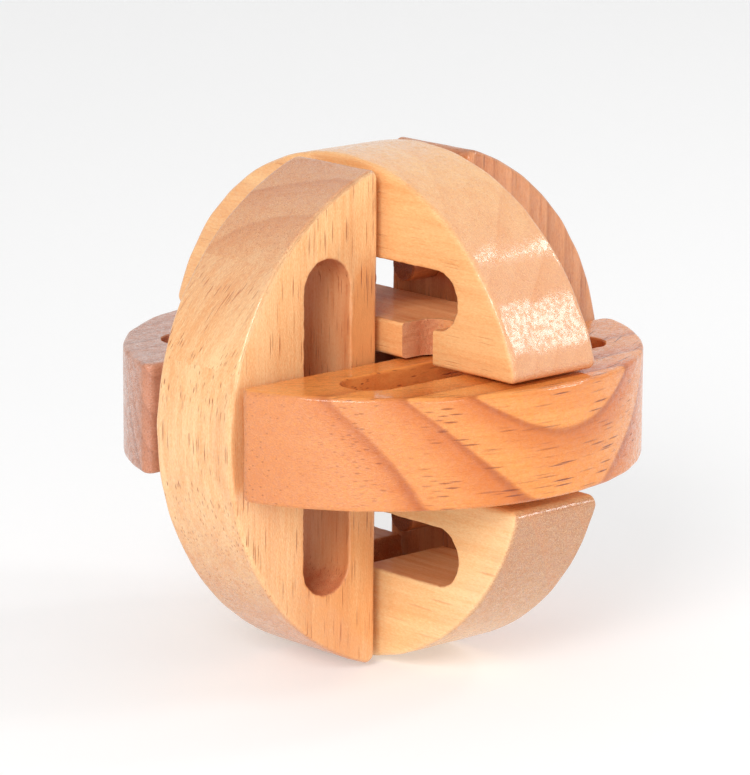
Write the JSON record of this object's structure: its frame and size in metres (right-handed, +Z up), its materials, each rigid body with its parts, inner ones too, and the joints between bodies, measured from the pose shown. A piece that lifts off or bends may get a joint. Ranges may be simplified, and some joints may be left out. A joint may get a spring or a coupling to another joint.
{
  "type": "wooden ball burr puzzle",
  "caption": "Ball-shaped wooden burr puzzle: slotted half-round plates interlock in crossing pairs on dowel pins, and a grooved key plate slides and lifts off to take it apart.",
  "frame": {"origin": "centre of the puzzle's bounding box, close to where the three crossing pairs of plates would meet", "axes": "+Z up, from the lower plate to the key plate on top; +X from the left plate to the right plate; +Y from the front plate to the back plate"},
  "size_m": [0.0696, 0.0708, 0.069],
  "materials": {
    "key_wood": "pale orange hardwood, sanded, clear gloss lacquer",
    "left_wood": "pale orange hardwood, sanded, clear gloss lacquer",
    "right_wood": "pale orange hardwood, sanded, clear gloss lacquer",
    "front_wood": "pale orange hardwood, sanded, clear gloss lacquer",
    "back_wood": "pale orange hardwood, sanded, clear gloss lacquer",
    "lower_wood": "pale orange hardwood, sanded, clear gloss lacquer",
    "dowel_wood": "turned hardwood dowel, unlacquered end grain"
  },
  "bodies": {
    "key": {"key_plate": "key_wood"},
    "left": {"left_plate": "left_wood", "left_plate_pin_top": "dowel_wood", "left_plate_pin_bottom": "dowel_wood"},
    "right": {"right_plate": "right_wood", "right_plate_pin_top": "dowel_wood", "right_plate_pin_bottom": "dowel_wood"},
    "front": {"front_plate": "front_wood", "front_plate_pin_left": "dowel_wood", "front_plate_pin_right": "dowel_wood"},
    "back": {"back_plate": "back_wood", "back_plate_pin_left": "dowel_wood", "back_plate_pin_right": "dowel_wood"},
    "lower": {"lower_plate": "lower_wood", "lower_plate_pin_front": "dowel_wood", "lower_plate_pin_back": "dowel_wood"}
  },
  "joints": [
    {"name": "key_slide", "type": "slide", "parent": "lower", "child": "key", "axis": [0, 1, 0], "range_m": [-0.0203, 0.019]},
    {"name": "left_play", "type": "slide", "parent": "lower", "child": "left", "axis": [-1, 0, 0], "range_m": [-0.0009, 0.0016]},
    {"name": "right_play", "type": "slide", "parent": "lower", "child": "right", "axis": [1, 0, 0], "range_m": [-0.0009, 0.0009]},
    {"name": "front_play", "type": "slide", "parent": "lower", "child": "front", "axis": [0, -1, 0], "range_m": [-0.0012, 0.0004]},
    {"name": "back_play", "type": "slide", "parent": "lower", "child": "back", "axis": [0, 1, 0], "range_m": [-0.001, 0.0015]}
  ]
}
